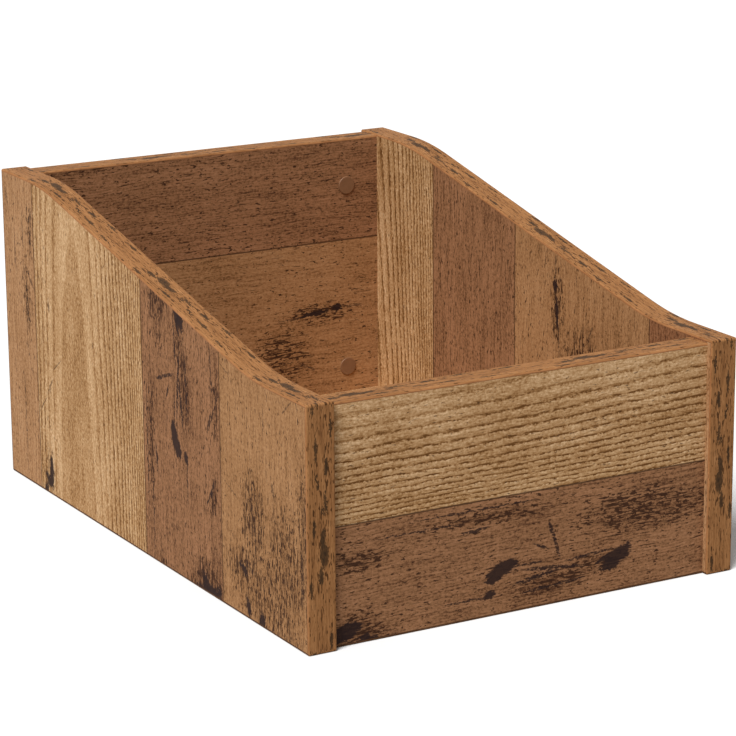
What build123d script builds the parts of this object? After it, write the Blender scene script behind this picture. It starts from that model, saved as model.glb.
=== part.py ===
from build123d import *
import math
import os

os.makedirs("parts", exist_ok=True)

# Record storage box with an open top: X is the width, -Y is the low front,
# +Z is up, and the origin is on the floor under the middle of the box.
WIDTH = 400.0
DEPTH = 575.0
FRONT_HEIGHT = 200.0
BACK_HEIGHT = 285.0

# The sides' top edge: level runs at both ends, joined by a slope with two soft bends.
FRONT_RUN = 88.0
BACK_RUN = 88.0
BEND_RADIUS = 300.0

# Boards are chipboard with a printed face, and their open edges carry a glued band.
# A band's rounding takes no more than a limited share of its thickness.
BOARD = 25.0
BAND = 2.0
BAND_ROUNDING = 1.5
ROUNDING_LIMIT = 0.75

# The front and back boards stand between the sides, a little behind their edges.
FRONT_SETBACK = 6.0
BACK_SETBACK = 6.0
FRONT_DROP = 3.0
BACK_DROP = 1.0
BOTTOM_GAP = 10.0

# Cam joints: a bolt screwed into a side is held by a cam in the board that meets it.
CAM_FROM_END = 34.0
CAM_BORE = 15.0
CAM_BELOW_BOLT = 5.5
CAM_PLAY = 0.1
CAM_SUNK = 0.3
BOLT_HEAD = 7.0
BOLT_HEAD_LENGTH = 3.0
BOLT_NECK = 4.0
BOLT_SHANK = 7.0
BOLT_BORE = 8.0
NECK_PLAY = 0.2
HEAD_PLAY = 0.3
LOCK_TURN = 150.0
THREAD = 6.0
THREAD_DEPTH = 0.4
THREAD_PITCH = 1.8
THREAD_TURNS = 6
THREAD_PLAY = 0.1
THREAD_HOLE_SPARE = 1.0
DRIVE_LENGTH = 6.5
DRIVE_WIDTH = 1.4
DRIVE_DEPTH = 2.0

# Plastic caps that cover the cams on the two upright boards.
CAP = 17.0
CAP_THICKNESS = 1.2
CAP_ROUNDING = 0.6
CAP_KEY_PLAY = 0.3

# Wooden dowels, half in the end of one board and half in the face of the other.
DOWEL = 8.0
DOWEL_IN_END = 18.0
DOWEL_IN_FACE = 12.0
DOWEL_CHAMFER = 1.0
DOWEL_PLAY = 0.1
DOWEL_END_PLAY = 0.5

# Places of the joints along each board.
LOW_CAM_ABOVE_BOTTOM = 25.0
HIGH_CAM_BELOW_TOP = 45.0
BOTTOM_CAM_INSET = 70.0
BOTTOM_DOWEL_FROM_MIDDLE = 90.0
FRONT_DOWELS = 1
BACK_DOWELS = 2
BOTTOM_DOWELS = 2

# Where the boards' faces come to lie.
inner_x = WIDTH / 2 - BOARD
front_face = -DEPTH / 2 + FRONT_SETBACK
front_inside = front_face + BOARD
back_face = DEPTH / 2 - BACK_SETBACK
back_inside = back_face - BOARD
front_top = FRONT_HEIGHT - FRONT_DROP
back_top = BACK_HEIGHT - BACK_DROP
bottom_middle = BOTTOM_GAP + BOARD / 2
rounding = min(BAND_ROUNDING, ROUNDING_LIMIT * BAND)
thread_length = THREAD_PITCH * THREAD_TURNS
cam_bore_depth = BOARD / 2 + CAM_BELOW_BOLT


def finish(builder, name):
    """Names a finished piece and writes its file."""
    builder.part.label = name
    export_step(builder.part, f"parts/{name}.step")


def spread(low, high, count):
    """Returns places that divide the stretch from low to high evenly, its ends left out."""
    return [low + (high - low) * (i + 1) / (count + 1) for i in range(count)]


# A cam's seat is a plane in the mouth of its bore: Z out of the board, X to its bolt.
low_cam_height = BOTTOM_GAP + BOARD + LOW_CAM_ABOVE_BOTTOM
front_cam_heights = [low_cam_height, front_top - HIGH_CAM_BELOW_TOP]
back_cam_heights = [low_cam_height, back_top - HIGH_CAM_BELOW_TOP]
bottom_cam_places = [front_inside + BOTTOM_CAM_INSET, back_inside - BOTTOM_CAM_INSET]


def cam_seats(side):
    """Returns the cam seats of the front, back and bottom boards at one side, -1 or 1."""
    x = side * (inner_x - CAM_FROM_END)
    to_bolt = (side, 0, 0)
    front = [Plane((x, front_inside, z), x_dir=to_bolt, z_dir=(0, 1, 0)) for z in front_cam_heights]
    back = [Plane((x, back_inside, z), x_dir=to_bolt, z_dir=(0, -1, 0)) for z in back_cam_heights]
    bottom = [Plane((x, y, BOTTOM_GAP), x_dir=to_bolt, z_dir=(0, 0, -1)) for y in bottom_cam_places]
    return front, back, bottom


# A dowel's seat is a plane between two boards: Z into the board drilled in its face.
def side_dowel_seats(side):
    """Returns the dowel seats of the front, back and bottom boards at one side, -1 or 1."""
    x = side * inner_x
    into_side = (side, 0, 0)
    front_y = front_inside - BOARD / 2
    back_y = back_inside + BOARD / 2
    front = [Plane((x, front_y, z), z_dir=into_side) for z in spread(*front_cam_heights, FRONT_DOWELS)]
    back = [Plane((x, back_y, z), z_dir=into_side) for z in spread(*back_cam_heights, BACK_DOWELS)]
    bottom = [
        Plane((x, y, bottom_middle), z_dir=into_side) for y in spread(*bottom_cam_places, BOTTOM_DOWELS)
    ]
    return front, back, bottom


bottom_dowel_places = [-BOTTOM_DOWEL_FROM_MIDDLE, BOTTOM_DOWEL_FROM_MIDDLE]
bottom_front_seats = [Plane((x, front_inside, bottom_middle), z_dir=(0, -1, 0)) for x in bottom_dowel_places]
bottom_back_seats = [Plane((x, back_inside, bottom_middle), z_dir=(0, 1, 0)) for x in bottom_dowel_places]

left_cams = cam_seats(-1)
right_cams = cam_seats(1)
left_dowels = side_dowel_seats(-1)
right_dowels = side_dowel_seats(1)
front_cams, back_cams, bottom_cams = (left + right for left, right in zip(left_cams, right_cams))
front_dowels, back_dowels, bottom_dowels = (left + right for left, right in zip(left_dowels, right_dowels))
upright_cams = front_cams + back_cams
all_cams = upright_cams + bottom_cams
all_dowels = front_dowels + back_dowels + bottom_dowels + bottom_front_seats + bottom_back_seats


def drill_dowel_holes(seats):
    """Cuts the dowels' holes out of the board that is being made."""
    length = DOWEL_IN_END + DOWEL_IN_FACE + 2 * DOWEL_END_PLAY
    with Locations(*seats):
        with Locations((0, 0, (DOWEL_IN_FACE - DOWEL_IN_END) / 2)):
            Cylinder(DOWEL / 2 + DOWEL_PLAY, length, mode=Mode.SUBTRACT)


def drill_cam_bores(seats):
    """Cuts each cam's bore, and the bolt's bore to it from the board's end."""
    with Locations(*seats):
        with Locations((0, 0, -cam_bore_depth / 2)):
            Cylinder(CAM_BORE / 2, cam_bore_depth, mode=Mode.SUBTRACT)
        with Locations((CAM_FROM_END / 2, 0, -BOARD / 2)):
            Cylinder(BOLT_BORE / 2, CAM_FROM_END, rotation=(0, 90, 0), mode=Mode.SUBTRACT)


def drill_thread_holes(seats):
    """Cuts the holes for the bolts' threads out of a side."""
    depth = thread_length + THREAD_HOLE_SPARE
    with Locations(*seats):
        with Locations((CAM_FROM_END + depth / 2, 0, -BOARD / 2)):
            Cylinder(THREAD / 2 + THREAD_PLAY, depth, rotation=(0, 90, 0), mode=Mode.SUBTRACT)


# The sides' outline, seen along +X with the front to the left.
left_face = Plane.YZ.offset(-WIDTH / 2)
with BuildLine() as top_path:
    FilletPolyline(
        (-DEPTH / 2, FRONT_HEIGHT),
        (-DEPTH / 2 + FRONT_RUN, FRONT_HEIGHT),
        (DEPTH / 2 - BACK_RUN, BACK_HEIGHT),
        (DEPTH / 2, BACK_HEIGHT),
        radius=[BEND_RADIUS, BEND_RADIUS],
    )

with BuildSketch(left_face) as side_outline:
    with BuildLine():
        add(top_path.line)
        Polyline(
            (DEPTH / 2, BACK_HEIGHT),
            (DEPTH / 2, 0),
            (-DEPTH / 2, 0),
            (-DEPTH / 2, FRONT_HEIGHT),
        )
    make_face()

with BuildSketch(left_face) as top_band_outline:
    with BuildLine():
        offset(top_path.line, amount=BAND, side=Side.RIGHT)
    make_face()


def round_outer_edges(builder, out):
    """Rounds a band's long edges and ends on the side where its faces look along out."""
    direction = Vector(out)
    outer = builder.faces().filter_by(lambda face: face.normal_at().dot(direction) > 0.5).edges()
    crosswise = outer.filter_by(Axis.X)
    along = outer.filter_by(Axis.X, reverse=True)
    ends = [crosswise.sort_by(Axis.Y)[0], crosswise.sort_by(Axis.Y)[-1]]
    corners = builder.edges().filter_by(Axis.Z)
    fillet(along + ends + corners, rounding)


# Each side is made at the left, and mirrored for the right.
with BuildPart() as left_top_band:
    extrude(top_band_outline.sketch, amount=BOARD)
    round_outer_edges(left_top_band, (0, 0, 1))

with BuildPart() as left_bottom_band:
    with Locations((-WIDTH / 2, 0, 0)):
        Box(BOARD, DEPTH, BAND, align=(Align.MIN, Align.CENTER, Align.MIN))
    round_outer_edges(left_bottom_band, (0, 0, -1))


def upright_band(end, height):
    """Makes the band on a side's front or back edge, at end -1 or 1."""
    with BuildPart() as band:
        with Locations((-WIDTH / 2, end * (DEPTH - BAND) / 2, BAND)):
            Box(BOARD, BAND, height - 2 * BAND, align=(Align.MIN, Align.CENTER, Align.MIN))
        outer = band.faces().sort_by(Axis.Y)[0 if end < 0 else -1]
        fillet(outer.edges().filter_by(Axis.Z), rounding)
    return band


left_front_band = upright_band(-1, FRONT_HEIGHT)
left_back_band = upright_band(1, BACK_HEIGHT)

with BuildSketch(left_face) as side_core:
    add(side_outline.sketch_local)
    add(top_band_outline.sketch_local, mode=Mode.SUBTRACT)
    with Locations((0, BAND / 2)):
        Rectangle(DEPTH, BAND, mode=Mode.SUBTRACT)
    for end, height in ((-1, FRONT_HEIGHT), (1, BACK_HEIGHT)):
        with Locations((end * (DEPTH - BAND) / 2, height / 2)):
            Rectangle(BAND, height, mode=Mode.SUBTRACT)

with BuildPart() as left_side_panel:
    extrude(side_core.sketch, amount=BOARD)
    for seats in left_cams:
        drill_thread_holes(seats)
    for seats in left_dowels:
        drill_dowel_holes(seats)

side_pieces = {
    "side_panel": left_side_panel,
    "side_top_band": left_top_band,
    "side_bottom_band": left_bottom_band,
    "side_front_band": left_front_band,
    "side_back_band": left_back_band,
}
for name, left_piece in side_pieces.items():
    finish(left_piece, f"left_{name}")
    with BuildPart() as right_piece:
        mirror(left_piece.part, about=Plane.YZ)
    finish(right_piece, f"right_{name}")


def cross_board(face_y, height):
    """Makes an upright board between the sides, from its lower y, without its bands."""
    with Locations((0, face_y, BAND)):
        Box(2 * inner_x, BOARD, height - 2 * BAND, align=(Align.CENTER, Align.MIN, Align.MIN))


with BuildPart() as front_panel:
    cross_board(front_face, front_top)
    drill_cam_bores(front_cams)
    drill_dowel_holes(front_dowels + bottom_front_seats)
finish(front_panel, "front_panel")

with BuildPart() as back_panel:
    cross_board(back_inside, back_top)
    drill_cam_bores(back_cams)
    drill_dowel_holes(back_dowels + bottom_back_seats)
finish(back_panel, "back_panel")

with BuildPart() as bottom_panel:
    with Locations((0, (front_inside + back_inside) / 2, BOTTOM_GAP)):
        Box(
            2 * inner_x,
            back_inside - front_inside,
            BOARD,
            align=(Align.CENTER, Align.CENTER, Align.MIN),
        )
    drill_cam_bores(bottom_cams)
    drill_dowel_holes(bottom_dowels + bottom_front_seats + bottom_back_seats)
finish(bottom_panel, "bottom_panel")


# The bands on the top and bottom edges of the two upright boards.
cross_bands = {
    "front_panel_top_band": (front_face, front_top - BAND, True),
    "front_panel_bottom_band": (front_face, 0, False),
    "back_panel_top_band": (back_inside, back_top - BAND, True),
    "back_panel_bottom_band": (back_inside, 0, False),
}
for name, (low_y, low_z, faces_up) in cross_bands.items():
    with BuildPart() as cross_band:
        with Locations((0, low_y, low_z)):
            Box(2 * inner_x, BOARD, BAND, align=(Align.CENTER, Align.MIN, Align.MIN))
        outer_face = cross_band.faces().sort_by(Axis.Z)[-1 if faces_up else 0]
        fillet(outer_face.edges().filter_by(Axis.X), rounding)
    finish(cross_band, name)


# The cam: a drum with a pocket for the bolt's head and a slot for its neck. The slot
# runs round to an entry as wide as the head, and the top has a screwdriver's cross.
cam_height = cam_bore_depth - 2 * CAM_SUNK
cam_radius = CAM_BORE / 2 - CAM_PLAY
pocket_radius = math.hypot(BOLT_HEAD / 2, BOLT_HEAD_LENGTH / 2) + NECK_PLAY
bolt_depth = -BOARD / 2

with BuildPart() as cam:
    with Locations((0, 0, -CAM_SUNK)):
        Cylinder(cam_radius, cam_height, align=(Align.CENTER, Align.CENTER, Align.MAX))
    with Locations((0, 0, bolt_depth)):
        Cylinder(pocket_radius, BOLT_HEAD + 2 * HEAD_PLAY, mode=Mode.SUBTRACT)
    with BuildSketch(Plane.XZ):
        with Locations((CAM_BORE / 2, bolt_depth)):
            Rectangle(CAM_BORE, BOLT_NECK + 2 * NECK_PLAY)
    revolve(axis=Axis.Z, revolution_arc=LOCK_TURN, mode=Mode.SUBTRACT)
    for turn, radius in ((0, BOLT_NECK / 2 + NECK_PLAY), (LOCK_TURN, BOLT_HEAD / 2 + HEAD_PLAY)):
        with Locations(Location((0, 0, bolt_depth), (0, 0, turn))):
            Cylinder(
                radius,
                CAM_BORE,
                rotation=(0, 90, 0),
                align=(Align.CENTER, Align.CENTER, Align.MIN),
                mode=Mode.SUBTRACT,
            )
    with BuildSketch(Plane.XY.offset(-CAM_SUNK)):
        Rectangle(DRIVE_LENGTH, DRIVE_WIDTH)
        Rectangle(DRIVE_WIDTH, DRIVE_LENGTH)
    extrude(amount=-DRIVE_DEPTH, mode=Mode.SUBTRACT)

with BuildPart() as cam_locks:
    with Locations(*all_cams):
        add(cam.part)
finish(cam_locks, "cam_locks")

# The cap: a domed disc on the board's face, with a key in the cam's cross.
with BuildPart() as cap:
    Cylinder(CAP / 2, CAP_THICKNESS, align=(Align.CENTER, Align.CENTER, Align.MIN))
    fillet(cap.faces().sort_by(Axis.Z)[-1].edges(), CAP_ROUNDING)
    with BuildSketch(Plane.XY):
        Rectangle(DRIVE_LENGTH - CAP_KEY_PLAY, DRIVE_WIDTH - CAP_KEY_PLAY)
        Rectangle(DRIVE_WIDTH - CAP_KEY_PLAY, DRIVE_LENGTH - CAP_KEY_PLAY)
    extrude(amount=-DRIVE_DEPTH)

with BuildPart() as cam_cover_caps:
    with Locations(*upright_cams):
        add(cap.part)
finish(cam_cover_caps, "cam_cover_caps")

# The bolt, turned about the X axis: head, neck, shank and the thread in the side.
neck_end = CAM_BORE / 2 + NECK_PLAY
thread_root = THREAD / 2 - THREAD_DEPTH
thread_outline = []
for turn in range(THREAD_TURNS):
    start = CAM_FROM_END + turn * THREAD_PITCH
    thread_outline += [(start, thread_root), (start + THREAD_PITCH / 2, THREAD / 2)]

with BuildPart() as bolt:
    with BuildSketch(Plane.XZ):
        with BuildLine():
            Polyline(
                (-BOLT_HEAD_LENGTH / 2, 0),
                (-BOLT_HEAD_LENGTH / 2, BOLT_HEAD / 2),
                (BOLT_HEAD_LENGTH / 2, BOLT_HEAD / 2),
                (BOLT_HEAD_LENGTH / 2, BOLT_NECK / 2),
                (neck_end, BOLT_NECK / 2),
                (neck_end, BOLT_SHANK / 2),
                (CAM_FROM_END, BOLT_SHANK / 2),
                *thread_outline,
                (CAM_FROM_END + thread_length, thread_root),
                (CAM_FROM_END + thread_length, 0),
                close=True,
            )
        make_face()
    revolve(axis=Axis.X)

with BuildPart() as cam_bolts:
    with Locations(*all_cams):
        with Locations((0, 0, bolt_depth)):
            add(bolt.part)
finish(cam_bolts, "cam_bolts")

with BuildPart() as dowel:
    with Locations((0, 0, -DOWEL_IN_END)):
        Cylinder(
            DOWEL / 2,
            DOWEL_IN_END + DOWEL_IN_FACE,
            align=(Align.CENTER, Align.CENTER, Align.MIN),
        )
    chamfer(dowel.edges().filter_by(GeomType.CIRCLE), DOWEL_CHAMFER)

with BuildPart() as wooden_dowels:
    with Locations(*all_dowels):
        add(dowel.part)
finish(wooden_dowels, "wooden_dowels")
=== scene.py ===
import math

import bpy
import numpy as np
from mathutils import Matrix, Vector


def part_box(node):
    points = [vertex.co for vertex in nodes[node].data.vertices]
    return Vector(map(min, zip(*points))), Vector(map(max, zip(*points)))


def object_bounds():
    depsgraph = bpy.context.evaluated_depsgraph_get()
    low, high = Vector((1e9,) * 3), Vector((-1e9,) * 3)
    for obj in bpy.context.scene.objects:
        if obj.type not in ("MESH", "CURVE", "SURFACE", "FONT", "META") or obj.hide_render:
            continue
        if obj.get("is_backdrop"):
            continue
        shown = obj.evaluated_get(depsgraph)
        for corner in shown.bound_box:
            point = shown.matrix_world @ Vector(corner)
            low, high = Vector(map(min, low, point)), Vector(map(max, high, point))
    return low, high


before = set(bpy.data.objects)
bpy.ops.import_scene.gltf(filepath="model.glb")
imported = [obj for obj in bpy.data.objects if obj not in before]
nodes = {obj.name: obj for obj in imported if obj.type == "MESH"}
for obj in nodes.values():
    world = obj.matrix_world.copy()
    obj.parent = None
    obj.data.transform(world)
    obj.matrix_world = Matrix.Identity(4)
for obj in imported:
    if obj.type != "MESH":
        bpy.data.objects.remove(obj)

cad_low, cad_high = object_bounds()

# Boards
# The sides and the boards between them are chipboard with a matt paper print of reclaimed
# planks on both faces. The sheet is printed first, and each board is sawn from it at its
# own place, so the boards share its planks, rings and cracks.
MM = 1000.0
# FAR is further than any mark or joint reaches, and HUGE divides away what mustn't count.
# A shader holds only so many values at once, so marks are taken a few at a time.
FAR = 9.0
HUGE = 1e6
MARKS_AT_ONCE = 8


class Shader:
    """Shader nodes in one tree. Most methods add some and return an output."""

    def __init__(self, tree):
        self.tree = tree

    def feed(self, socket, value):
        """Links an output to a socket, or sets the socket to a plain value."""
        if isinstance(value, bpy.types.NodeSocket):
            self.tree.links.new(value, socket)
        else:
            socket.default_value = value

    def node(self, kind, inputs, out=0, **settings):
        """Adds one shader node, with its settings and its inputs by name or number."""
        made = self.tree.nodes.new("ShaderNode" + kind)
        for key, value in settings.items():
            setattr(made, key, value)
        for key, value in inputs.items():
            self.feed(made.inputs[key], value)
        return made.outputs[out]

    def math(self, operation, a, b=0.0, c=0.0):
        """One sum on plain numbers."""
        return self.node("Math", {0: a, 1: b, 2: c}, operation=operation)

    def add(self, first, *others):
        """The sum of several values."""
        for other in others:
            first = self.math("ADD", first, other)
        return first

    def times(self, first, *others):
        """The product of several values."""
        for other in others:
            first = self.math("MULTIPLY", first, other)
        return first

    def place(self):
        """The point on the piece in millimetres, as its x, y and z."""
        point = self.node("TexCoord", {}, out="Object")
        return [self.times(self.node("SeparateXYZ", {0: point}, out=i), MM) for i in range(3)]

    def point(self, a, b, c=0.0):
        """Three numbers put together as a point."""
        return self.node("CombineXYZ", {0: a, 1: b, 2: c})

    def noise(self, across, along, size_across, size_along, detail=2.0, seed=0.0, rough=0.5):
        """Soft random values from 0 to 1, about 0.5, whose spots have the given sizes in mm."""
        spot = self.point(self.times(across, 1 / size_across), self.times(along, 1 / size_along), seed)
        return self.node(
            "TexNoise", {"Vector": spot, "Scale": 1.0, "Detail": detail, "Roughness": rough}
        )

    def swing(self, value, reach):
        """A noise value turned into a swing about zero, of up to reach each way."""
        return self.math("MULTIPLY_ADD", value, 2 * reach, -reach)

    def step(self, value, low, high, to_low=0.0, to_high=1.0):
        """A smooth step from to_low, where the value is low, to to_high, where it is high."""
        sockets = {0: value, 1: low, 2: high, 3: to_low, 4: to_high}
        return self.node("MapRange", sockets, interpolation_type="SMOOTHSTEP")

    def mix(self, amount, under, over):
        """One colour laid over another by an amount."""
        return self.node("Mix", {0: amount, 6: under, 7: over}, out=2, data_type="RGBA")

    def ramp(self, value, stops):
        """A colour from a row of (place, colour) stops."""
        made = self.tree.nodes.new("ShaderNodeValToRGB")
        band = made.color_ramp
        while len(band.elements) < len(stops):
            band.elements.new(0.5)
        for element, (position, colour) in zip(band.elements, stops):
            element.position = position
            element.color = colour
        self.feed(made.inputs[0], value)
        return made.outputs[0]

    def nearest(self, across, along, marks):
        """How near a place is to the nearest of some oval marks: under 1 is inside one.
        Marks go in small batches, and each batch's point carries the least so far."""
        least = FAR
        for first in range(0, len(marks), MARKS_AT_ONCE):
            spot = self.point(across, along, least)
            for right, up, half_long, half_wide, lean in marks[first : first + MARKS_AT_ONCE]:
                sizes = (half_wide, half_long, HUGE)
                place = {1: (right, up, 0), 2: (0, 0, math.radians(lean)), 3: sizes}
                turned = self.node("Mapping", {0: spot, **place}, vector_type="TEXTURE")
                away = self.node("VectorMath", {0: turned}, out=1, operation="LENGTH")
                least = self.math("MINIMUM", away, least)
        return least


class Finish(Shader):
    """A material, whose surface such nodes feed."""

    def __init__(self, name):
        self.material = bpy.data.materials.new(name)
        self.material.use_nodes = True
        super().__init__(self.material.node_tree)
        self.surface = self.tree.nodes["Principled BSDF"]

    def show(self, inputs):
        """Sets inputs of the surface by name, each to an output or a plain value."""
        for name, value in inputs.items():
            self.feed(self.surface.inputs[name], value)

    def bump(self, height, strength, depth):
        """Gives the surface a fine relief, whose depth is in metres."""
        relief = self.node("Bump", {"Strength": strength, "Distance": depth, "Height": height})
        self.show({"Normal": relief})

    def cover(self, piece):
        """Makes this a piece's only material."""
        nodes[piece].data.materials.clear()
        nodes[piece].data.materials.append(self.material)


def paint(red, green, blue):
    """A colour as seen on screen, 0 to 255, turned into the light that it reflects."""
    screen = np.array([red, green, blue]) / 255
    reflected = np.where(screen > 0.04045, ((screen + 0.055) / 1.055) ** 2.4, screen / 12.92)
    return (*map(float, reflected), 1.0)


# The printed sheet, in mm: across its planks, and along them. The whole sheet repeats.
SHEET_WIDTH = 720.0
SHEET_LENGTH = 700.0
SHEET_START = -60.0
# Where the golden and the dark plank start, and the tan one that follows them.
GOLDEN = 68.0
DARK = 289.0
TAN = 431.0
# Each plank has its edge and five tones from its dark grain to its pale grain.
PLANKS = [
    (0.0, [(108, 70, 41), (148, 107, 70), (167, 124, 86), (179, 135, 96), (191, 150, 109)]),
    (GOLDEN, [(102, 66, 33), (150, 109, 67), (177, 136, 93), (193, 154, 111), (224, 187, 145)]),
    (DARK, [(60, 36, 24), (114, 77, 52), (142, 101, 69), (155, 110, 77), (169, 123, 89)]),
    (TAN, [(79, 49, 28), (138, 98, 63), (159, 116, 77), (170, 126, 86), (183, 139, 98)]),
    (640.0, [(58, 36, 25), (113, 74, 49), (137, 92, 62), (150, 104, 71), (164, 117, 82)]),
]
TONE_STOPS = [0.0, 0.3, 0.5, 0.7, 1.0]
JOINT_COLOUR = paint(74, 50, 34)
FLECK_COLOUR = paint(56, 34, 23)
CHAR_COLOUR = paint(44, 31, 29)

# The growth rings of the golden plank: arches about one line that close upwards. There
# are RING_RATE rings to a mm at the first one, and RING_CROWDING packs them outwards.
RING_MIDDLE = 150.0
FIRST_RING = 45.0
ARCH_DEPTH = 25.0
ARCH_TAPER = 0.078
RING_RATE = 0.06
RING_CROWDING = 0.001

# Marks on the sheet: across, along, half length, half width, lean in degrees.
# Burnt patches are solid and almost black.
PATCHES = [
    (348, 120, 12, 6, 12), (354, 110, 9, 6.5, 25), (369, 106, 6, 3.2, 10),
    (356, 229, 14, 6.5, 18), (350, 238, 6, 3, 60), (364, 220, 9, 4, 0), (357, 215, 8, 2.4, 20),
    (408, 2, 7, 19, 0), (401, 9, 8, 5, 30), (424, 6, 6, 5, -10), (388, 2, 3, 7, 20),
    (376, -26, 16, 7, 15), (384, -8, 7, 4, 30),
    (92, 22, 16, 4.2, 0), (85, 13, 8, 3.8, 38), (79, 3, 3.5, 8, 60),
    (476, 10, 8, 3.6, 15), (499, 5, 8, 5, -15), (468, 40, 3, 9, -30),
    (500, 505, 16, 2.6, 4), (497, 530, 6, 3.5, 0), (650, 392, 14, 2.6, 25),
]
# Cracks are thin and broken.
CRACKS = [
    (351, 200, 24, 1.3, 4), (356, 165, 30, 1.8, -6), (361, 150, 22, 2.0, 8), (371, 166, 32, 1.2, 3),
    (334, 168, 1.6, 17, 17), (322, 163, 1.2, 6, 12), (336, 154, 8, 1.2, -25),
    (422, 161, 16, 0.9, -28), (412, 146, 10, 1.8, -20), (416, 190, 22, 1.3, 6),
    (410, 84, 15, 1.2, -32), (416, 92, 8, 1.6, -18), (370, 84, 20, 0.9, 0), (313, 92, 14, 1.3, 5),
    (296, 95, 60, 0.8, 0), (305, 40, 40, 0.8, 0), (349, 138, 20, 0.9, 0),
    (50, 168, 22, 1.5, 3), (58, 194, 15, 1.1, 42), (62, 252, 9, 1.1, -35), (10, 262, 8, 2.0, 8),
    (26, 215, 20, 0.8, 0), (38, 60, 45, 1.0, 0), (44, 235, 18, 0.9, 0),
    (78, 82, 12, 0.8, -45), (96, 104, 10, 0.9, -40), (112, 126, 12, 0.7, -55),
    (97, 178, 7, 1.7, 0), (94, 100, 5, 1.4, 0),
    (448, 101, 15, 0.8, 68), (440, 198, 9, 0.7, 70), (484, 92, 28, 1.2, 0), (489, 70, 24, 0.9, 0),
    (566, 58, 26, 2.0, 0), (558, 205, 14, 1.0, 10), (478, 44, 3, 8, -28), (520, 118, 7, 1.6, 15),
    (543, 190, 10, 0.9, -50), (505, 170, 12, 0.8, 0),
    (497, 548, 9, 1.6, 0), (503, 478, 14, 1.1, 0), (552, 497, 9, 1.2, -25), (530, 540, 6, 0.9, 10),
    (592, 480, 11, 0.9, 0), (640, 470, 30, 1.3, 0),
]
# Stains darken the grain and crowd it with flecks.
STAINS = [
    (320, 258, 80, 24, 0), (424, 165, 34, 6, -6), (418, 84, 24, 7, -14),
    (405, 12, 24, 36, 0), (368, 165, 45, 12, 0), (304, 110, 70, 7, 0),
    (378, -15, 34, 22, 0), (320, -14, 32, 12, 0), (360, 205, 40, 9, 0),
    (486, 88, 52, 26, 0), (472, 40, 28, 38, 0), (510, 30, 44, 66, 0), (540, 60, 66, 40, 0),
    (568, 90, 74, 12, 0), (86, 20, 30, 18, 0), (50, 170, 50, 10, 0), (60, 232, 30, 8, 0),
    (500, 510, 46, 12, 0), (540, 470, 40, 40, 0), (660, 380, 60, 26, 0),
]

# The rings' lightness through one year's growth: a soft rise, a slow fall, a dark line.
# RING_LEVEL is the lightness that leaves a tone as it is.
RING_STOPS = [
    (0.0, 0.58), (0.18, 0.67), (0.42, 0.58), (0.66, 0.48), (0.8, 0.06), (0.92, 0.12), (1.0, 0.58),
]
RING_LEVEL = 0.56

# Flecks lie where their noise is higher than these, from none to full.
PORE_EDGE = (0.645, 0.685)
LINE_EDGE = (0.655, 0.695)
DOT_EDGE = (0.735, 0.765)


def growth_rings(finish, across, along, leaning, mottle):
    """Gives the rings' lightness about zero, the distance outside the first ring, how much
    a place is in the heart inside that ring, and its distance from the rings' middle."""
    wave = finish.noise(across, along, 9.0, 22.0, detail=2.0, seed=6.0, rough=0.6)
    bend = finish.noise(across, along, 60.0, 170.0, detail=1.0, seed=7.0)
    bent = finish.add(across, finish.swing(wave, 1.7), finish.swing(bend, 5.0), finish.swing(mottle, 1.6))
    off = finish.math("ABSOLUTE", finish.add(bent, -RING_MIDDLE))
    depth = finish.math("MULTIPLY_ADD", along, ARCH_TAPER, ARCH_DEPTH)
    squares = finish.math("MULTIPLY_ADD", off, off, finish.times(depth, depth))
    ring = finish.add(finish.math("SQRT", squares), -FIRST_RING)
    count = finish.times(ring, finish.math("MULTIPLY_ADD", ring, RING_CROWDING, RING_RATE))
    year = finish.math("FRACT", count)
    shade = finish.ramp(year, [(stop, (grey, grey, grey, 1.0)) for stop, grey in RING_STOPS])

    # The lines are broken up, stronger outwards, and almost gone in the heart.
    patchy = finish.noise(leaning, along, 2.6, 10.0, detail=3.0, seed=8.0, rough=0.6)
    heart = finish.step(ring, -2.0, 1.0, 1.0, 0.0)
    strength = finish.times(
        finish.step(patchy, 0.34, 0.64, 0.3, 1.5),
        finish.step(ring, 0.0, 55.0, 0.45, 1.0),
        finish.math("MULTIPLY_ADD", heart, -0.8, 1.0),
    )
    rings = finish.times(finish.add(shade, -RING_LEVEL), strength)
    return rings, ring, heart, off


def joined_planks(finish, across, ragged, ring_tone, plain_tone):
    """Gives the colour of the planks side by side, with a thin dark joint between them."""
    edge_place = finish.add(across, finish.swing(ragged, 0.4))
    colour = None
    joint = FAR
    for start, colours in PLANKS:
        tones = [(stop, paint(*tone)) for stop, tone in zip(TONE_STOPS, colours)]
        plank = finish.ramp(ring_tone if start == GOLDEN else plain_tone, tones)
        beyond = finish.math("GREATER_THAN", edge_place, start)
        colour = plank if colour is None else finish.mix(beyond, colour, plank)
        away = finish.math("ABSOLUTE", finish.add(edge_place, -start))
        joint = finish.math("MINIMUM", away, joint)
    joint_amount = finish.step(joint, 0.35, 1.0, 0.85, 0.0)
    return finish.mix(joint_amount, colour, JOINT_COLOUR)


def flecks(finish, across, along, leaning, crowd):
    """Gives the cover of pores drawn out along the grain, long streaks and round dots."""
    pore = finish.noise(leaning, along, 2.1, 7.5, detail=2.0, seed=9.0, rough=0.6)
    pore = finish.step(finish.add(pore, crowd), *PORE_EDGE)
    line = finish.noise(leaning, along, 1.5, 30.0, detail=3.0, seed=10.0, rough=0.65)
    line = finish.step(finish.add(line, crowd), *LINE_EDGE)
    dot = finish.noise(across, along, 2.6, 3.4, detail=1.0, seed=11.0, rough=0.5)
    dot = finish.step(finish.add(dot, finish.times(crowd, 0.6)), *DOT_EDGE)
    return finish.math("MAXIMUM", finish.math("MAXIMUM", pore, line), dot)


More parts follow.
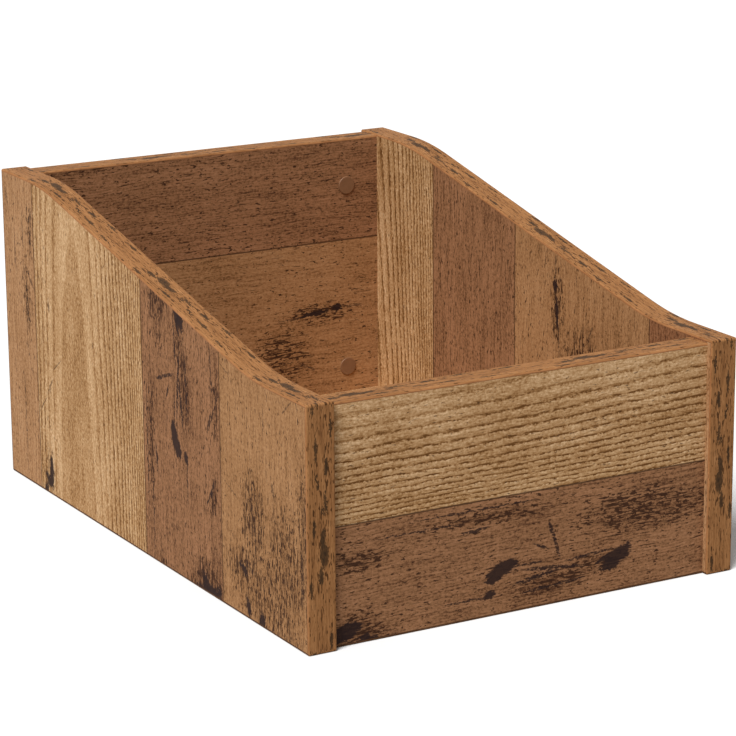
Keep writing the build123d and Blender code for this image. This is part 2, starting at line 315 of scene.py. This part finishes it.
def printed_sheet(finish, across, along, marks):
    """Gives the sheet's colour and its relief at a place in mm across and along it."""
    patches, cracks, stains = marks
    drift = finish.swing(finish.noise(across, along, 45.0, 60.0, detail=1.0, seed=12.0), 3.5)
    leaning = finish.add(across, drift)
    fibre = finish.noise(leaning, along, 1.3, 9.0, detail=3.0, seed=1.0, rough=0.65)
    mottle = finish.noise(across, along, 2.0, 2.8, detail=3.0, seed=2.0, rough=0.7)
    broad = finish.noise(across, along, 26.0, 90.0, detail=2.0, seed=3.0)
    streak = finish.noise(leaning, along, 3.0, 60.0, detail=3.0, seed=4.0, rough=0.6)
    ragged = finish.noise(across, along, 4.0, 5.0, detail=2.0, seed=5.0, rough=0.6)
    grain = finish.add(
        finish.swing(fibre, 0.55), finish.swing(mottle, 0.75), finish.swing(broad, 0.32)
    )
    rings, ring, heart, off = growth_rings(finish, across, along, leaning, mottle)

    # Stains: soft ovals with a torn edge, in which the dark flecks crowd.
    torn_across = finish.add(across, finish.swing(ragged, 9.0))
    torn_along = finish.add(along, finish.swing(ragged, -12.0))
    stain = finish.step(finish.nearest(torn_across, torn_along, stains), 0.3, 1.2, 1.0, 0.0)

    # Tones: full rings in the golden plank, palest round its heart, and faint ones elsewhere.
    plain_tone = finish.add(
        grain, finish.times(rings, 0.3), finish.swing(streak, 0.5), finish.times(stain, -0.14), 0.58
    )
    round_heart = finish.add(finish.step(ring, 0.0, 60.0, 0.1, -0.03), finish.times(heart, -0.18))
    ring_tone = finish.add(
        grain, rings, finish.swing(streak, 0.24), finish.times(stain, -0.12), 0.555, round_heart
    )
    colour = joined_planks(finish, across, ragged, ring_tone, plain_tone)

    # Flecks: paler and fewer in the golden plank, fewest at its rings' middle, and more in
    # the dark plank and in stains.
    in_golden = finish.times(
        finish.math("GREATER_THAN", across, GOLDEN), finish.math("LESS_THAN", across, DARK)
    )
    in_dark = finish.times(
        finish.math("GREATER_THAN", across, DARK), finish.math("LESS_THAN", across, TAN)
    )
    calm = finish.times(in_golden, finish.step(off, 25.0, 60.0, -0.045, -0.015))
    crowd = finish.add(finish.times(in_dark, 0.018), calm, 0.014)
    crowd = finish.add(crowd, finish.times(stain, 0.1), finish.swing(broad, 0.07))
    fleck = flecks(finish, across, along, leaning, crowd)
    fleck = finish.times(fleck, finish.math("MULTIPLY_ADD", in_golden, -0.25, 0.93))
    colour = finish.mix(fleck, colour, FLECK_COLOUR)

    # Patches and cracks, their edges torn by the noise.
    torn_across = finish.add(across, finish.swing(ragged, 3.2), finish.swing(mottle, 1.8))
    torn_along = finish.add(along, finish.swing(ragged, -4.0), finish.swing(fibre, 9.0))
    burnt = finish.step(finish.nearest(torn_across, torn_along, patches), 0.85, 1.1, 1.0, 0.0)
    thin_across = finish.add(across, finish.swing(ragged, 2.4))
    thin_along = finish.add(along, finish.swing(ragged, 1.6))
    crack = finish.step(finish.nearest(thin_across, thin_along, cracks), 0.8, 1.2, 1.0, 0.0)
    crack = finish.times(crack, finish.step(finish.add(fibre, mottle), 1.0, 1.16, 1.0, 0.1))
    crack = finish.times(crack, finish.math("MULTIPLY_ADD", in_dark, 0.3, 0.65))
    char = finish.times(finish.math("MAXIMUM", burnt, crack), 0.94)
    colour = finish.mix(char, colour, CHAR_COLOUR)
    return colour, grain


# A mark that ends further than this outside a board's windows, in mm, is left out.
TORN_REACH = 10.0


def seen(mark, windows):
    """Says whether a mark may show in one of a board's two windows on the sheet."""
    reach = max(mark[2:4]) + TORN_REACH
    for face in range(2):
        inside = True
        for place, size, window in zip(mark, (SHEET_WIDTH, SHEET_LENGTH), windows):
            low, high = window[face]
            copies = [place + size * turn for turn in (-1, 0, 1, 2)]
            inside &= any(low - reach < copy < high + reach for copy in copies)
        if inside:
            return True
    return False


# Chipboard shows only in bores and sawn ends, more than a hair under a printed face.
PRINT_DEPTH = 0.3
CHIP_TONES = [(0.3, paint(150, 112, 74)), (0.5, paint(196, 160, 116)), (0.7, paint(222, 192, 148))]


def sawn_board(name, node, across, along, faces, second_cut):
    """Makes a board's material. Faces is the axis that its printed faces look along. The
    first face lies on the sheet by across and along, each an axis, its direction and where
    its zero lies, and the second face lies further on by the second cut."""
    finish = Finish(name)
    place = finish.place()
    low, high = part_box(node)
    middle = (low[faces] + high[faces]) / 2 * MM
    thickness = (high[faces] - low[faces]) * MM
    depth = finish.math("ABSOLUTE", finish.add(place[faces], -middle))
    second = finish.math("GREATER_THAN", place[faces], middle)
    cuts = []
    windows = []
    for (axis, way, start), shift, size, zero in zip(
        (across, along), second_cut, (SHEET_WIDTH, SHEET_LENGTH), (0.0, SHEET_START)
    ):
        value = finish.math("MULTIPLY_ADD", place[axis], way, start)
        value = finish.math("MULTIPLY_ADD", second, shift, value)
        cuts.append(finish.math("WRAP", value, zero + size, zero))
        ends = sorted(way * corner[axis] * MM + start for corner in (low, high))
        windows.append([(ends[0], ends[1]), (ends[0] + shift, ends[1] + shift)])
    marks = [[mark for mark in kind if seen(mark, windows)] for kind in (PATCHES, CRACKS, STAINS)]
    colour, relief = printed_sheet(finish, *cuts, marks)
    core = finish.math("LESS_THAN", depth, thickness / 2 - PRINT_DEPTH)
    chips = finish.ramp(finish.noise(*cuts, 2.5, 3.0, detail=3.0, seed=21.0, rough=0.7), CHIP_TONES)
    colour = finish.mix(core, colour, chips)
    finish.show({"Base Color": colour, "Roughness": 0.7, "Specular IOR Level": 0.05})
    finish.bump(relief, 0.3, 0.0002)
    finish.cover(node)


# Each board's first face is cut from the sheet at a place across its planks and along
# them, in mm, and its second face as much further on as the last pair says.
X, Y, Z = 0, 1, 2
half_depth = cad_high.y * MM
sawn_board("left_side_print", "left_side_panel", (Y, -1, half_depth), (Z, 1, 0), X, (-290, 380))
sawn_board("right_side_print", "right_side_panel", (Y, -1, half_depth + 153), (Z, 1, 330), X, (200, 60))
sawn_board("front_print", "front_panel", (Z, -1, 387), (X, 1, 139), Y, (330, 300))
sawn_board("back_print", "back_panel", (Z, -1, 617), (X, 1, 400), Y, (-200, 160))
sawn_board("bottom_print", "bottom_panel", (X, 1, 420), (Y, 1, 210), Z, (300, 0))

# Edge bands
# The free edges of the upright boards carry glued plastic bands with a wood print. It
# comes off a roller, so the same burnt knot comes back all along a band, whose plastic
# shows on its milled corners, over a thin dark line of glue. On the bottom and back
# bands those corners are painted a dark brown, which is painted shade.
ROLLER_ROUND = 214.0
BAND_STOPS = [0.0, 0.18, 0.34, 0.5, 0.66, 0.82, 1.0]
BAND_TONES = [
    (77, 48, 28), (110, 71, 41), (133, 90, 54), (149, 103, 63), (160, 112, 70), (169, 121, 78),
    (186, 137, 92),
]
# The milled corners' two tones. The orange is the plastic's own colour. The dark brown is painted shade,
# for the corners that face down or away from the lamp.
ORANGE_PLASTIC = (paint(152, 102, 64), paint(174, 120, 79))
PLASTIC_IN_PAINTED_SHADE = (paint(62, 42, 29), paint(84, 58, 40))
GLUE_COLOUR = paint(84, 54, 34)
KNOT_COLOUR = paint(56, 42, 29)
SPECK_COLOUR = paint(68, 42, 23)
# Knots on the roller: across the band from the outer face, along, half sizes and lean.
KNOTS = [
    (14.5, 0, 10.5, 3.8, 4), (13.6, 14, 7, 2.4, -4), (16, 41, 9, 1.5, 8), (14, 35, 4, 1.2, 20),
    (12, -17, 8, 2.0, 0), (10.5, -21, 3, 1.0, 40), (3, -27, 7, 1.6, 0), (8, 84, 10, 1.4, 0),
    (20, -70, 8, 1.5, 0), (5, -96, 7, 1.3, 6), (17, 70, 8, 1.5, 0), (9, 58, 6, 1.2, 15),
    (21, 100, 9, 1.3, 0), (6, 22, 8, 1.1, 0),
]


def printed_band(name, node, along, across, seam, plastic):
    """Prints one band. Along and across are each an axis, a direction and a zero; seam
    is the axis that the band's glue face looks along, and where that face lies. Noise
    is read round a circle as long as the roller, so that the print closes on itself.
    Plastic is the two colours of the milled corners: the plastic's own orange on top and
    front bands, and on bottom and back bands a dark brown that is painted shade."""
    finish = Finish(name)
    place = finish.place()
    run, side = (finish.times(finish.add(place[axis], -zero), way) for axis, way, zero in (along, across))
    radius = ROLLER_ROUND / (2 * math.pi)
    turn = finish.times(run, 1 / radius)
    around = [finish.times(finish.math(wave, turn), radius) for wave in ("COSINE", "SINE")]

    def spots(size_side, size_run, detail, seed, rough=0.5):
        """Random values on the roller, whose spots have the given sizes in mm."""
        spot = finish.point(
            finish.times(around[0], 1 / size_run),
            finish.times(around[1], 1 / size_run),
            finish.add(finish.times(side, 1 / size_side), seed),
        )
        return finish.node("TexNoise", {"Vector": spot, "Scale": 1.0, "Detail": detail, "Roughness": rough})

    streak = spots(0.9, 22.0, detail=3.0, seed=3.0, rough=0.6)
    fibre = spots(0.8, 5.0, detail=2.0, seed=17.0, rough=0.6)
    cloud = spots(9.0, 34.0, detail=2.0, seed=31.0)
    tone = finish.add(finish.swing(streak, 0.6), finish.swing(fibre, 0.35), finish.swing(cloud, 0.3), 0.52)
    colour = finish.ramp(tone, [(stop, paint(*tone)) for stop, tone in zip(BAND_STOPS, BAND_TONES)])

    wrapped = finish.math("WRAP", run, ROLLER_ROUND / 2, -ROLLER_ROUND / 2)
    ragged = spots(1.4, 3.0, detail=2.0, seed=45.0, rough=0.7)
    torn = finish.add(side, finish.swing(ragged, 2.2))
    knot = finish.nearest(torn, finish.add(wrapped, finish.swing(ragged, 5.0)), KNOTS)
    near = finish.step(knot, 1.0, 3.0, 0.05, 0.0)
    speck = spots(1.1, 6.5, detail=1.0, seed=59.0)
    speck = finish.step(finish.add(speck, near), 0.615, 0.66)
    colour = finish.mix(finish.times(speck, 0.88), colour, SPECK_COLOUR)
    knot = finish.step(knot, 0.8, 1.15, 0.92, 0.0)
    knot = finish.times(knot, finish.step(fibre, 0.3, 0.55, 0.65, 1.0))
    colour = finish.mix(knot, colour, KNOT_COLOUR)

    # The milled corners turn away from the print and show the plastic, then the glue. On the
    # bottom and back bands the plastic's colour there is a painted shade.
    normal = finish.node("NewGeometry", {}, out="Normal")
    flank = finish.node("SeparateXYZ", {0: normal}, out=across[0])
    flank = finish.step(finish.math("ABSOLUTE", flank), 0.72, 0.9)
    plain = finish.mix(finish.step(streak, 0.3, 0.7), *plastic)
    colour = finish.mix(finish.times(flank, 0.8), colour, plain)
    from_seam = finish.math("ABSOLUTE", finish.add(place[seam[0]], -seam[1]))
    glue = finish.times(finish.step(from_seam, 0.1, 0.35, 0.8, 0.0), flank)
    colour = finish.mix(glue, colour, GLUE_COLOUR)
    finish.show({"Base Color": colour, "Roughness": 0.6, "Specular IOR Level": 0.04})
    finish.bump(streak, 0.35, 0.0002)
    finish.cover(node)


# Where one knot lies along each kind of band, in mm.
TOP_KNOT = -231.0
BOTTOM_KNOT = -171.0
FRONT_EDGE_KNOT = 80.0
BACK_EDGE_KNOT = 130.0
FRONT_BOARD_KNOT = -150.0
BACK_BOARD_KNOT = -60.0
half_width = cad_high.x * MM
for hand, outer, inward in (("left", -half_width, 1), ("right", half_width, -1)):
    from_outer = (X, inward, outer)
    for edge, along, seam_axis in (
        ("top", (Y, -1, TOP_KNOT), Z),
        ("bottom", (Y, -1, BOTTOM_KNOT), Z),
        ("front", (Z, 1, FRONT_EDGE_KNOT), Y),
        ("back", (Z, 1, BACK_EDGE_KNOT), Y),
    ):
        node = f"{hand}_side_{edge}_band"
        low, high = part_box(node)
        seam_place = high if edge in ("bottom", "front") else low
        # Bottom and back bands get dark brown corners, which are painted shade.
        plastic = PLASTIC_IN_PAINTED_SHADE if edge in ("bottom", "back") else ORANGE_PLASTIC
        seam = (seam_axis, seam_place[seam_axis] * MM)
        printed_band(f"{hand}_side_{edge}_print", node, along, from_outer, seam, plastic)
for board, inward in (("front", 1), ("back", -1)):
    for edge in ("top", "bottom"):
        node = f"{board}_panel_{edge}_band"
        low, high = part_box(node)
        outer = (low if inward > 0 else high).y * MM
        seam_place = low if edge == "top" else high
        knot = FRONT_BOARD_KNOT if board == "front" else BACK_BOARD_KNOT
        # The dark brown corners of the bottom bands are painted shade.
        printed_band(
            f"{board}_{edge}_print", node, (X, 1, knot), (Y, inward, outer), (Z, seam_place.z * MM),
            ORANGE_PLASTIC if edge == "top" else PLASTIC_IN_PAINTED_SHADE,
        )

# Cam locks
# Each cam is a small drum of die-cast zinc that turns in its bore, with a cross slot in
# its face. The casting is dull and grey, and a little cloudy.
finish = Finish("zinc_casting")
x, y, z = finish.place()
cast = finish.noise(finish.add(x, z), finish.add(y, z), 1.6, 1.6, detail=3.0, seed=1.0, rough=0.6)
cloud = finish.noise(finish.add(x, z), finish.add(y, z), 7.0, 7.0, detail=2.0, seed=2.0)
colour = finish.mix(cloud, paint(150, 152, 155), paint(196, 197, 199))
roughness = finish.step(cast, 0.3, 0.7, 0.34, 0.52)
finish.show({"Base Color": colour, "Roughness": roughness, "Metallic": 1.0})
finish.bump(cast, 0.4, 0.00015)
finish.cover("cam_locks")

# Cam bolts
# The bolts are steel with a bright zinc plating, screwed into the sides by their coarse
# thread, and their round heads are held by the cams.
finish = Finish("plated_steel")
x, y, z = finish.place()
turned = finish.noise(x, finish.add(y, z), 0.35, 9.0, detail=2.0, seed=3.0)
tint = finish.noise(finish.add(x, z), finish.add(y, z), 4.0, 4.0, detail=2.0, seed=4.0)
colour = finish.mix(tint, paint(186, 188, 190), paint(214, 213, 208))
roughness = finish.step(turned, 0.3, 0.7, 0.22, 0.36)
finish.show({"Base Color": colour, "Roughness": roughness, "Metallic": 1.0})
finish.cover("cam_bolts")

# Cam covers
# Thin moulded caps of brown plastic close the cams of the front and back boards. They
# have the fine spark grain of their mould.
finish = Finish("cap_plastic")
x, y, z = finish.place()
grain = finish.noise(x, z, 0.5, 0.5, detail=2.0, seed=5.0, rough=0.6)
cloud = finish.noise(x, z, 5.0, 5.0, detail=2.0, seed=6.0)
colour = finish.mix(cloud, paint(118, 82, 55), paint(134, 94, 64))
finish.show({"Base Color": colour, "Roughness": finish.step(grain, 0.3, 0.7, 0.38, 0.5)})
finish.bump(grain, 0.5, 0.0001)
finish.cover("cam_cover_caps")

# Dowels
# The dowels are beech, turned and pressed, and glued into both boards: pale pinkish wood
# with short brown rays along its grain.
finish = Finish("beech")
x, y, z = finish.place()
fibre = finish.noise(finish.add(y, z), x, 0.5, 9.0, detail=3.0, seed=7.0, rough=0.6)
ray = finish.noise(finish.add(y, z), x, 0.4, 2.2, detail=1.0, seed=8.0)
colour = finish.mix(finish.step(fibre, 0.3, 0.7), paint(190, 150, 110), paint(222, 188, 148))
colour = finish.mix(finish.step(ray, 0.6, 0.68, 0.0, 0.6), colour, paint(150, 100, 66))
finish.show({"Base Color": colour, "Roughness": 0.6})
finish.cover("wooden_dowels")

# Floor
# A plain pale floor runs out past every view. Seen straight on or in a gloss it is white
# and keeps the box's shadow, and it throws less light back up at the wood.
FLOOR_HALF = 30.0
FLOOR_WHITE = (0.86, 0.86, 0.86, 1.0)
FLOOR_BOUNCE = (0.43, 0.43, 0.43, 1.0)
floor_mesh = bpy.data.meshes.new("floor")
corners = [(x * FLOOR_HALF, y * FLOOR_HALF, 0) for x, y in ((-1, -1), (1, -1), (1, 1), (-1, 1))]
floor_mesh.from_pydata(corners, [], [(0, 1, 2, 3)])
floor = bpy.data.objects.new("floor", floor_mesh)
bpy.context.scene.collection.objects.link(floor)
finish = Finish("floor")


def seen_ray(shader):
    """One for rays that show a thing to the camera, straight on or by gloss or glass."""
    kinds = ("Is Camera Ray", "Is Glossy Ray", "Is Transmission Ray")
    rays = [shader.node("LightPath", {}, out=kind) for kind in kinds]
    return shader.math("MAXIMUM", shader.math("MAXIMUM", rays[0], rays[1]), rays[2])


colour = finish.mix(seen_ray(finish), FLOOR_BOUNCE, FLOOR_WHITE)
finish.show({"Base Color": colour, "Roughness": 1.0, "Specular IOR Level": 0.0})
floor_mesh.materials.append(finish.material)
floor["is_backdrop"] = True

# Light
# A large soft lamp stands high on the left, and even light comes from all around, so
# that the left face is the brightest upright one and the front is a little darker.
AROUND = 0.34
KEY_ANGLE = 25.0
KEY_POWER = 3.63
KEY_FALL = Vector((0.59, 0.33, -0.965))
world = bpy.data.worlds.new("studio")
world.use_nodes = True
bpy.context.scene.world = world
# The surroundings look white, but light the box only by AROUND.
sky = Shader(world.node_tree)
background = sky.tree.nodes["Background"]
sky.feed(background.inputs["Color"], (1.0, 1.0, 1.0, 1.0))
sky.feed(background.inputs["Strength"], sky.step(seen_ray(sky), 0.0, 1.0, AROUND, 1.0))
lamp = bpy.data.lights.new("key", "SUN")
lamp.energy = KEY_POWER
lamp.angle = math.radians(KEY_ANGLE)
key = bpy.data.objects.new("key", lamp)
key.rotation_euler = KEY_FALL.to_track_quat("-Z", "Y").to_euler()
bpy.context.scene.collection.objects.link(key)

# Camera
# It stands in front of the left corner, above the box and looking down a little, with a
# long lens and no shift.
IMAGE_WIDE = 736.0
SENSOR_WIDE = 36.0
LENS_PIXELS = 2945.0
CAMERA_PLACE = Vector((-1.2105, -2.1575, 0.7965))
YAW = math.radians(29.65)
PITCH = math.radians(14.95)
ROLL = math.radians(-0.4)
camera_data = bpy.data.cameras.new("camera")
camera_data.sensor_width = SENSOR_WIDE
camera_data.lens = LENS_PIXELS / IMAGE_WIDE * SENSOR_WIDE
camera = bpy.data.objects.new("camera", camera_data)
forward = Vector((math.sin(YAW) * math.cos(PITCH), math.cos(YAW) * math.cos(PITCH), -math.sin(PITCH)))
level_right = Vector((math.cos(YAW), -math.sin(YAW), 0.0))
level_up = level_right.cross(forward)
right = level_right * math.cos(ROLL) + level_up * math.sin(ROLL)
up = level_up * math.cos(ROLL) - level_right * math.sin(ROLL)
camera.matrix_world = Matrix.Translation(CAMERA_PLACE) @ Matrix((right, up, -forward)).transposed().to_4x4()
bpy.context.scene.collection.objects.link(camera)
bpy.context.scene.camera = camera
bpy.context.scene.view_settings.view_transform = "Standard"

# Size
# The finished box is measured again.
low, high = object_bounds()
